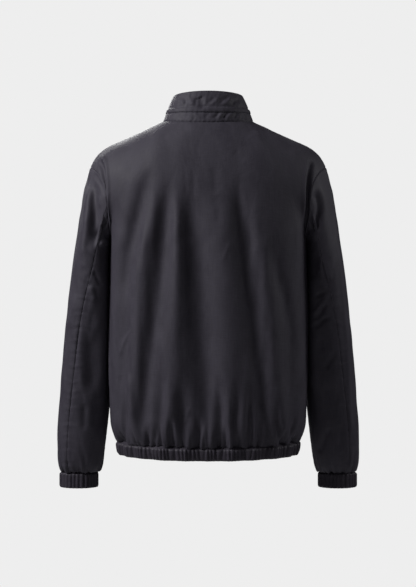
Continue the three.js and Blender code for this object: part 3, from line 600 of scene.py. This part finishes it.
# rows of stitches: the piece, its edge, and how far in from it they lie
seamInset, zipInset, weltInset = 4.2, 6.0, 1.8
stitchedRows = []
backCut = bodyCloth("back", backCreases)
stitchedRows += [(backCut, edge, seamInset) for edge in ("left", "right", "top")]
backPanel = clothMesh("backPanel", backCut, body["cloth"])
dress(backPanel, "shell_nylon", "back")
frontRows = {"left": frontCreases + leftOnly, "right": mirroredRows(frontCreases + rightOnly)}
for lower, rows in frontRows.items():
    frontCut = bodyCloth(f"front_{lower}", rows, lower)
    stitchedRows.append((frontCut, lower, zipInset))
    front = clothMesh(f"frontPanel{lower.title()}", frontCut, body["cloth"])
    dress(front, "shell_nylon", f"front_{lower}")


# the sleeves

sleeve = {"spacing": 2.9, "cloth": 0.0008, "cuffPitch": 11.5, "cuffHeight": 1.6, "cuffDepth": 4.2, "cuffReach": 26.0,
          "cuffCentre": (260, -39), "cuffRadius": 36, "seamHeight": 0.8}

# folds behind, for the wearer's left and right sleeve
sleeveBackLeft = [
    fold(-3.5, 3.2, (225, -104), (209, -130), (202, -154), ends=(0.2, 0.2)),
    fold(3, 3.5, (218, -94), (207, -124), ends=(0.2, 0.3)),
    fold(2, 5, (214, -150), (212, -178)),
    fold(-4, 5, (222, -238), (209, -217), (197, -199), ends=(0.3, 0.1)),
    fold(4, 5, (215, -248), (207, -246), (198, -238), ends=(0.3, 0.1)),
    fold(-2.6, 3.2, (226, -298), (219, -312), (211, -332)),
    fold(3, 6, (233, -325), (222, -362)),
    fold(2, 8, (226, -345), (223, -381), (217, -425)),
    fold(-1.6, 5, (234, -305), (238, -341)),
    fold(2, 8, (241, -250), (246, -300)),
    fold(3, 9, (252, -395), (254, -470), (250, -545)),
    fold(-3, 10, (233, -425), (232, -545)),
    fold(2, 12, (268, -340), (272, -420)),
    fold(2, 10, (266, -520), (269, -600)),
    fold(-2.4, 8, (218, -550), (226, -620)),
    fold(-2.4, 6, (246, -560), (248, -620)),
]
sleeveBackRight = [
    fold(-8, 7, (-205, -146), (-214, -153), (-218, -172), (-214, -202), (-209, -224), ends=(0.15, 0.2)),
    fold(-3, 4, (-197, -187), (-205, -207), (-213, -227)),
    fold(3, 5, (-197, -222), (-212, -238)),
    fold(-3, 7, (-213, -262), (-209, -320)),
    fold(2.4, 8, (-224, -278), (-237, -326)),
    fold(-3, 3.6, (-212, -350), (-228, -342), (-243, -340), ends=(0.1, 0.3)),
    fold(-3.6, 4, (-214, -397), (-225, -375), (-242, -361), ends=(0.1, 0.3)),
    fold(-3.4, 4, (-212, -412), (-228, -395), (-247, -392), ends=(0.1, 0.3)),
    fold(2.4, 4, (-214, -384), (-226, -360), (-241, -351), ends=(0.1, 0.3)),
    fold(-3, 5, (-251, -460), (-240, -478), (-231, -498)),
    fold(-1.8, 6, (-218, -432), (-227, -456)),
    fold(-2.6, 10, (-236, -520), (-238, -600)),
    fold((2, 2.4, 2.2, 1.6), 4.5, (-246, -140), (-254, -220), (-262, -300), (-270, -380), (-277, -470), (-282, -560),
         (-286, -645), ends=(0.1, 0.1)),
    fold(-2.4, 5, (-243, -608), (-230, -639), (-221, -668)),
    fold(-2.2, 5, (-262, -600), (-266, -660)),
]
# the left sleeve's back lies flat below the shoulder, with a hollow in it: moved straight back
flatBack = [
    fold((6, 13, 14, 10, 4), 10, (239, -118), (241, -160), (243, -200), (247, -240), (252, -285), ends=(0.15, 0.2)),
    fold((-4, -9, -10, -9, -5), 9, (224, -116), (221, -150), (220, -190), (221, -225), (225, -262), ends=(0.15, 0.2)),
]
# beside the seam that runs down the inner side
underCreases = [
    fold((4, 7, 7, 5), 10, (207, -250), (208, -320), (209, -400), (211, -500), (215, -590)),
]
# folds on the hidden side
sleeveFront = [
    fold(-5, 10, (232, -112), (230, -160), (222, -205)),
    fold(-3.4, 7, (208, -200), (222, -232), (236, -262)),
    fold(3, 7, (204, -236), (220, -262), (232, -296)),
    fold(-3.6, 7, (206, -350), (226, -372), (250, -380)),
    fold(3, 7, (208, -378), (230, -400), (256, -404)),
    fold(-3, 7, (212, -412), (232, -430), (256, -432)),
    fold(2.2, 10, (262, -320), (268, -400)),
    fold(-2.8, 10, (240, -480), (246, -570)),
    fold(2.4, 11, (268, -500), (276, -610)),
    fold(2.2, 9, (222, -540), (230, -630)),
]


def sleeveCloth(node, side, seamEdge):
    cloth = Cloth(outerGrid(node, clothRim), sleeve["spacing"])
    behind = smooth(-0.15, 0.35, cloth.normals[..., 1])
    before = smooth(-0.15, 0.35, -cloth.normals[..., 1])
    x = cloth.x * side
    backRows = sleeveBackLeft if side > 0 else mirroredRows(sleeveBackRight)
    for rows, mask in ((backRows, behind), (sleeveFront, before), (underCreases, behind)):
        for row in rows:
            cloth.rise += crease(x, cloth.z, **row) * mask
    edges = np.minimum(cloth.side, cloth.top)
    cloth.rise *= smooth(0, 5, edges)
    if side > 0:
        for row in flatBack:
            cloth.points[..., 1] += crease(x, cloth.z, **row) * behind * smooth(0, 5, edges) * mm
    middle, pitch, reach = sleeve["cuffCentre"], sleeve["cuffPitch"], sleeve["cuffReach"]
    run = np.arctan2(cloth.y[:1] - middle[1], x[:1] - middle[0]) * sleeve["cuffRadius"] + 0 * cloth.x
    cloth.rise += pucker(cloth.bottom, run, pitch * 1.7, sleeve["cuffHeight"], reach, 7 + side)
    cloth.rise += gathers(cloth.bottom, run, pitch, sleeve["cuffDepth"], reach, 7 + side)
    for edge, distance in (("left", cloth.left), ("right", cloth.right)):
        height = sleeve["seamHeight"] * (1 if edge == seamEdge else 0.35)
        along = (cloth.z[:, :1] if edge == "left" else cloth.z[:, -1:]) + 0 * distance
        cloth.rise += pucker(distance, along, 17, height, 13, 21 + side)
        cloth.rise += pucker(distance, along, 8, 0.3 * height, 6, 25 + side)
    cloth.rise += pucker(cloth.top, cloth.z[-1:] + 0 * cloth.z, 17, 0.3, 10, 31)
    cloth.rise += 0.5 * wander(cloth.z / 95 + 0.5 * wander(x / 60, 4), 9 + side) * smooth(0, 20, edges)
    cloth.settle()
    turnUnder(cloth, left=(2.2, 1.6), right=(2.2, 1.6), top=(2.2, 1.6), bottom=(1.8, 2.2))
    return cloth


print("sleeves")
for side, label in ((1, "Left"), (-1, "Right")):
    lower = label.lower()
    seamEdge = "right" if side > 0 else "left"
    topCut = sleeveCloth(f"sleeve_top_{lower}", side, seamEdge)
    stitchedRows.append((topCut, seamEdge, seamInset))
    top = clothMesh(f"sleeveTop{label}", topCut, sleeve["cloth"])
    dress(top, "shell_nylon", f"sleeve_top_{lower}")
    underEdge = "left" if side > 0 else "right"
    under = clothMesh(f"sleeveUnder{label}", sleeveCloth(f"sleeve_under_{lower}", side, underEdge), sleeve["cloth"])
    dress(under, "shell_nylon", f"sleeve_under_{lower}")


# the collar and its welt

collar = {"spacing": 1.9, "cloth": 0.0018, "weltLow": 0.33, "weltHigh": 0.47, "weltRise": 1.15, "weltEnd": 26.0,
          "weltSpacing": 2.2, "weltCloth": 0.0009}

# slanting wrinkles of the collar behind
collarCreases = [
    fold(-1.6, 3.2, (78, 40), (70, 30), (62, 24)),
    fold(1.8, 3.6, (66, 44), (56, 34), (46, 28)),
    fold(-1.8, 3.2, (52, 46), (44, 34), (46, 24)),
    fold(1.6, 3.4, (38, 44), (34, 32), (28, 24)),
    fold(-1.6, 3.2, (24, 42), (25, 32), (22, 22)),
    fold(-4, 7.5, (18, 40), (13, 28), (8, 14), ends=(0.05, 0.2)),
    fold(-5, 4.5, (-66, 10), (-74, 2), (-82, -12), ends=(0.2, 0)),
    fold(-2, 3.4, (-14, 40), (-4, 32), (3, 25)),
    fold(1.6, 3, (-20, 38), (-12, 30), (-6, 24)),
    fold(-2.4, 3.8, (-40, 42), (-28, 34), (-20, 27)),
    fold(2.2, 3.6, (-48, 42), (-38, 32), (-32, 25)),
    fold(-2, 3.4, (-60, 40), (-52, 32), (-46, 24)),
    fold(1.6, 3.2, (-66, 36), (-60, 26), (-56, 20)),
    fold(1.4, 3.2, (80, 8), (70, 2), (62, -2)),
    fold(-1.2, 3, (58, 8), (50, 2), (42, -2)),
    fold(1.6, 3, (30, 9), (22, 3), (14, -4)),
    fold(-1.4, 3, (-4, 9), (2, 3), (6, -4)),
    fold(-2.4, 3.2, (-22, 9), (-15, 2), (-10, -5)),
    fold(2, 3, (-30, 9), (-23, 2), (-18, -5)),
    fold(-2.6, 3.4, (-41, 10), (-33, 3), (-28, -4)),
    fold(2, 3.2, (-48, 10), (-41, 3), (-36, -4)),
    fold(-1.8, 3.2, (-58, 9), (-52, 2), (-48, -3)),
    fold(1.6, 3.2, (-66, 8), (-60, 1), (-56, -3)),
]


def collarCloth():
    cloth = Cloth(outerGrid("collar", clothRim), collar["spacing"], (0, 0.8, 1.8))
    behind = smooth(0.25, 0.6, cloth.normals[..., 1])
    before = smooth(0.25, 0.6, -cloth.normals[..., 1])
    for row in collarCreases:
        cloth.rise += crease(cloth.x, cloth.z, **row) * behind * (0.72 - 0.3 * smooth(40, 70, np.abs(cloth.x)))
    slant = cloth.left * 0.9 + cloth.bottom * 0.7
    cloth.rise += 0.7 * before * wander(slant / 17, 6) * np.sin(np.pi * cloth.height)
    cloth.rise += 0.3 * behind * wander(slant / 11, 9)
    cloth.rise *= smooth(0, 9, cloth.side) * smooth(-1, 5, cloth.bottom) * smooth(-2, 4, cloth.top)
    cloth.rise += pucker(cloth.bottom, cloth.left, 9, 0.5, 6, 13) * np.maximum(behind, before)
    cloth.rise -= 0.6 * np.exp(-(((cloth.top - 4.2) / 0.9) ** 2))
    inside = smooth(collar["weltEnd"] - 3, collar["weltEnd"], cloth.side)
    for edge in (collar["weltLow"] - 0.03, collar["weltHigh"] + 0.03):
        cloth.rise -= 1.1 * inside * np.exp(-(((cloth.height - edge) / 0.03) ** 2))
    cloth.settle()
    cloth.rise = -0.5 * np.exp(-(np.minimum(cloth.side, cloth.top) ** 2))
    cloth.settle()
    turnUnder(cloth, bottom=(1.4, 2.2))
    return cloth


def weltCloth(under):
    # a narrow strip along the collar, drawn on its own points and moved out
    columns = np.flatnonzero(under.side[2] > collar["weltEnd"])
    rows = []
    for share in np.linspace(collar["weltLow"], collar["weltHigh"], 4):
        rows.append([[np.interp(share, under.height[:, c], under.points[:, c, k]) for k in range(3)] for c in columns])
    strip = Cloth(np.array(rows), collar["weltSpacing"], (0, 0.5, 1.1))
    edge = np.minimum(strip.side, strip.end)
    strip.rise = collar["weltRise"] - 0.7 * np.exp(-((edge / 0.8) ** 2))
    strip.rise += 0.12 * wander((strip.left + strip.bottom) / 9, 4)
    strip.settle()
    return strip


print("collar")
collarCut = collarCloth()
collarPiece = clothMesh("standCollar", collarCut, collar["cloth"])
dress(collarPiece, "shell_nylon", "collar")
weltCut = weltCloth(collarCut)
stitchedRows += [(weltCut, "top", weltInset), (weltCut, "bottom", weltInset), (collarCut, "top", seamInset)]
weltPiece = clothMesh("collarWelt", weltCut, collar["weltCloth"])
dress(weltPiece, "shell_nylon", "collar_welt")


# the elastic bands

bands = {"spacing": 1.2, "cuffSpacing": 1.4, "cloth": 0.0012, "ribPitch": 8.2, "ribRise": 3.9, "ribRound": 0.62,
         "slant": 0.05, "tuck": 3.3, "under": (5.0, 5.0), "cuffRibs": 26, "cuffInset": 0.0018, "height": 0.025,
         "drawnIn": 0.0035}


def ribs(along, up, pitch, rise, seed):
    # narrow rounded ribs, uneven in width, height and slant
    turn = along / pitch + 0.32 * wander(along / 47, seed)
    turn += bands["slant"] * (up - 0.5) * wander(along / 31, seed + 2) * 8
    wave = np.abs(np.sin(np.pi * turn)) ** bands["ribRound"]
    height = 0.76 + 0.24 * wander(np.floor(turn) * 0.37, seed + 5)
    return rise * (wave * height - 0.45)


def hemBandGrid():
    # one strip from the left front edge round the back to the right front edge
    grids = [outerGrid(node, clothRim)[0] for node in ("front_left", "back", "front_right")]
    top = np.concatenate([grids[0][:-1], grids[1][:-1], grids[2]])
    top[:, 2] -= 0.0006
    centre = np.array([0, 0.004])
    rows = []
    for share in (1.0, 0.66, 0.33, 0.0):
        row = top.copy()
        drawn = 1 - bands["drawnIn"] * (1 - share) ** 2 / np.linalg.norm(row[:, :2] - centre, axis=1)
        row[:, :2] = centre + (row[:, :2] - centre) * drawn[:, None]
        row[:, 2] -= bands["height"] * (1 - share)
        rows.insert(0, row)
    return np.array(rows)


def drawIn(cloth, softEdge, tuckWidth):
    # ribs fade towards both edges, and the upper edge is drawn in under the cloth above it
    cloth.rise *= softEdge + (1 - softEdge) * smooth(0, 5, cloth.end)
    cloth.rise -= 0.9 * np.exp(-((cloth.bottom / 1.3) ** 2))
    cloth.rise -= bands["tuck"] * np.exp(-((cloth.top / tuckWidth) ** 2))
    cloth.settle()
    turnUnder(cloth, top=bands["under"])


print("bands")
hemCut = Cloth(hemBandGrid(), bands["spacing"], (0, 0.7))
hemCut.rise = ribs(hemCut.left[:1] + 0 * hemCut.left, hemCut.height, bands["ribPitch"], bands["ribRise"], 3)
drawIn(hemCut, 0.3, 3.2)
hemBand = clothMesh("hemBand", hemCut, bands["cloth"])
dress(hemBand, "elastic_band", "hem_band")


def cuffGrid(node):
    low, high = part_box(node)
    centre = (low + high) / 2
    half = (high - low) / 2
    turns = np.linspace(0, 2 * math.pi, 97)
    rows = []
    for z in np.linspace(low.z, high.z, 4):
        x = centre.x + (half.x - bands["cuffInset"]) * np.cos(turns)
        y = centre.y + (half.y - bands["cuffInset"]) * np.sin(turns)
        rows.append(np.stack([x, y, np.full_like(x, z)], axis=1))
    return np.array(rows)


for side, label in ((1, "Left"), (-1, "Right")):
    node = f"cuff_{label.lower()}"
    cloth = Cloth(cuffGrid(node), bands["cuffSpacing"], (0, 0.7))
    # whole turns of every wave, so the ring closes
    turn = cloth.left / cloth.left[:, -1:] * bands["cuffRibs"]
    part = 2 * np.pi * turn / bands["cuffRibs"]
    uneven = 0.14 * np.sin(5 * part) + 0.1 * np.sin(3 * part) * cloth.height
    wave = np.abs(np.sin(np.pi * (turn + uneven))) ** bands["ribRound"]
    cloth.rise = bands["ribRise"] * (wave * (0.84 + 0.16 * np.sin(7 * part)) - 0.5)
    drawIn(cloth, 0.5, 2.6)
    cloth.points[:, -1] = cloth.points[:, 0]
    cuff = clothMesh(f"cuff{label}", cloth, bands["cloth"], closed=True)
    dress(cuff, "elastic_band", node)


# the zip

zipper = {"toothPitch": 2.6, "toothWidth": 3.0, "toothHeight": 1.5, "toothDepth": 1.6, "toothAside": 0.9,
          "toothSunk": 0.3, "toothRound": 0.25, "tapeSpacing": 2.4, "tapeCloth": 0.0009, "bandClear": 0.004,
          "inward": 0.003, "innerColumn": 0.004, "innerClose": 0.0003}


def lengthened(grid, drop, inward):
    # the strip run on downwards through the hem band
    along = 0 if grid.shape[0] > grid.shape[1] else 1
    first, last = (np.take(grid, [k], axis=along) for k in (0, -1))
    lowFirst = first[..., 2].mean() < last[..., 2].mean()
    extra = [(first if lowFirst else last) + np.array([0, inward * k / 3, -drop * k / 3]) for k in (1, 2, 3)]
    return np.concatenate(extra[::-1] + [grid] if lowFirst else [grid] + extra, axis=along)


print("zip")
bandLow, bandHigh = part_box("hem_band")
for side, label in ((1, "Left"), (-1, "Right")):
    node = f"zip_tape_{label.lower()}"
    grid = outerGrid(node, tapeRim)
    drop = max(0.001, grid[..., 2].min() - bandLow.z - zipper["bandClear"])
    grid = lengthened(grid, drop, zipper["inward"])
    # below the fronts the two strips come together, so the band has no slot
    inner = (grid[..., 2] < bandHigh.z) & (np.abs(grid[..., 0]) < zipper["innerColumn"])
    grid[..., 0] = np.where(inner, side * zipper["innerClose"], grid[..., 0])
    tapePiece = clothMesh(f"zipTape{label}", Cloth(grid, zipper["tapeSpacing"], (0, 0.6)), zipper["tapeCloth"])
    dress(tapePiece, "zip_tape", node)
    if side > 0:
        zipLine = grid[:, 0]


def metalMaterial(name, colour, roughness, metallic):
    material, tree, shader = newMaterial(name)
    where = addNode(tree, "ShaderNodeTexCoord")
    look = {"dark": [c * 0.82 for c in colour], "light": colour, "roughness": (roughness - 0.05, roughness + 0.08),
            "crumpleScale": 900.0, "stretch": 1.0}
    crumple, tone = unevenTone(tree, shader, where, look)
    tree.links.new(tone.outputs[2], shader.inputs["Base Color"])
    bump = addNode(tree, "ShaderNodeBump", {"Height": crumple.outputs["Height"], "Strength": 0.1, "Distance": 0.0002})
    tree.links.new(bump.outputs[0], shader.inputs["Normal"])
    shader.inputs["Metallic"].default_value = metallic
    return material


zipMetal = metalMaterial("darkZipMetal", (0.06, 0.06, 0.066), 0.34, 1.0)
toothResin = metalMaterial("zipTeethResin", (0.014, 0.014, 0.016), 0.38, 0.0)


def zipTeeth():
    bm = bmesh.new()
    line = zipLine.copy()
    line[:, 0] = 0
    run = lineRun(line)
    count = int((run[-1] - 0.012) / (zipper["toothPitch"] * mm))
    size = Matrix.Diagonal((zipper["toothWidth"] * mm, zipper["toothHeight"] * mm, zipper["toothDepth"] * mm, 1))
    for k in range(count):
        reach = 0.003 + k * zipper["toothPitch"] * mm
        place, ahead = pointAlong(line, run, reach), pointAlong(line, run, reach + 0.002)
        up = (Vector(ahead) - Vector(place)).normalized()
        right = Vector((1, 0, 0))
        turn = Matrix((right, up, right.cross(up))).transposed().to_4x4()
        aside = zipper["toothAside"] * (1 if k % 2 else -1)
        shift = Vector((aside * mm, 0, -zipper["toothSunk"] * mm))
        made = bmesh.ops.create_cube(bm, size=1)["verts"]
        placed = Matrix.Translation(place) @ turn @ Matrix.Translation(shift) @ size
        bmesh.ops.transform(bm, matrix=placed, verts=made)
    bmesh.ops.bevel(bm, geom=bm.edges[:], offset=zipper["toothRound"] * mm, offset_type="OFFSET", segments=1,
                    profile=0.5, affect="EDGES", material=-1)
    return newPiece("zipTeeth", newMesh("zipTeeth", bm))


stitch = {"pitch": 3.6, "length": 2.5, "width": 0.5, "height": 0.35}


def stitchShape():
    bm = bmesh.new()
    bmesh.ops.create_uvsphere(bm, u_segments=6, v_segments=4, radius=1)
    return newMesh("oneStitch", bm)


def stitchRow(bm, shape, ball, cloth, edge, inset):
    # short threads laid end to end, a set distance in from an edge
    across = edge in ("left", "right")
    distance = getattr(cloth, edge)
    k = int(np.argmin(np.abs(distance.mean(axis=0 if across else 1) - inset)))
    line = cloth.points[:, k] if across else cloth.points[k]
    normals = cloth.normals[:, k] if across else cloth.normals[k]
    run = lineRun(line) / mm
    size = Matrix.Diagonal((stitch["length"] / 2 * mm, stitch["width"] / 2 * mm, stitch["height"] / 2 * mm, 1))
    for reach in np.arange(stitch["pitch"], run[-1] - stitch["pitch"], stitch["pitch"]):
        place, ahead = Vector(pointAlong(line, run, reach)), Vector(pointAlong(line, run, reach + 1))
        out = Vector(pointAlong(normals, run, reach))
        along = (ahead - place).normalized()
        side = out.cross(along).normalized()
        turn = Matrix((along, side, along.cross(side))).transposed().to_4x4()
        shape.vertices.foreach_set("co", ball)
        shape.transform(Matrix.Translation(place) @ turn @ size)
        bm.from_mesh(shape)


print("stitches")
stitches = bmesh.new()
shape = stitchShape()
ball = np.array([v.co[:] for v in shape.vertices]).ravel()
for cloth, edge, inset in stitchedRows:
    stitchRow(stitches, shape, ball, cloth, edge, inset)
thread = newPiece("stitches", newMesh("stitches", stitches))
thread.data.materials.append(metalMaterial("sewingThread", (0.024, 0.022, 0.029), 0.6, 0.0))
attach(thread, "jacket")
print(f"stitches: {triangles(thread)} triangles")

teeth = zipTeeth()
teeth.data.materials.append(toothResin)
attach(teeth, "jacket")
for node in ("zip_slider", "zip_pull"):
    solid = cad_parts[node]
    solid.data.materials.clear()
    solid.data.materials.append(zipMetal)


# camera, floor and light

studio = {"distance": 2.7, "aside": 0.0004, "height": -0.344, "lens": 82.8, "floor": -1.7, "floorRadius": 2.1,
          "floorGrey": 0.56, "grey": 0.855, "daylight": 0.02, "aim": (0, 0, -0.3)}

camera = newPiece("camera", bpy.data.cameras.new("camera"))
camera.location = (studio["aside"], studio["distance"], studio["height"])
camera.rotation_euler = (math.radians(90), 0, math.radians(180))
camera.data.lens = studio["lens"]
camera.data.sensor_width = 36
bpy.context.scene.camera = camera

disc = bmesh.new()
bmesh.ops.create_circle(disc, cap_ends=True, radius=studio["floorRadius"], segments=96)
bmesh.ops.translate(disc, vec=(0, 0, studio["floor"]), verts=disc.verts)
floor = newPiece("floor", newMesh("floor", disc))
paleFloor, _, floorShader = newMaterial("paleFloor")
floorShader.inputs["Base Color"].default_value = (studio["floorGrey"],) * 3 + (1,)
floorShader.inputs["Roughness"].default_value = 0.8
floor.data.materials.append(paleFloor)

world = bpy.data.worlds.new("studio")
bpy.context.scene.world = world
world.use_nodes = True
tree = world.node_tree
tree.nodes.clear()
seen = addNode(tree, "ShaderNodeBackground", {"Color": (studio["grey"],) * 3 + (1,), "Strength": 1.0})
lit = addNode(tree, "ShaderNodeBackground", {"Color": (0.92, 0.94, 1.0, 1), "Strength": studio["daylight"]})
path = addNode(tree, "ShaderNodeLightPath")
blend = addNode(tree, "ShaderNodeMixShader", {0: path.outputs["Is Camera Ray"], 1: lit.outputs[0], 2: seen.outputs[0]})
addNode(tree, "ShaderNodeOutputWorld", {0: blend.outputs[0]})

lights = [
    {"name": "key", "at": (2.08, 0.92, 1.3), "size": 1.1, "watts": 112.0},
    {"name": "rim", "at": (-2.3, -0.1, 0.7), "size": 1.0, "watts": 24.0},
    {"name": "fill", "at": (-0.9, 2.4, 0.2), "size": 1.5, "watts": 6.5},
    {"name": "front", "at": (0.8, -2.4, 1.2), "size": 1.6, "watts": 70.0},
]
for row in lights:
    lamp = newPiece(row["name"], bpy.data.lights.new(row["name"], "AREA"))
    lamp.data.shape = "DISK"
    lamp.data.size = row["size"]
    lamp.data.energy = row["watts"]
    lamp.location = row["at"]
    lamp.rotation_euler = (Vector(studio["aim"]) - Vector(row["at"])).to_track_quat("-Z", "Y").to_euler()
bpy.context.scene.view_settings.view_transform = "Standard"
print("camera and lights ready")
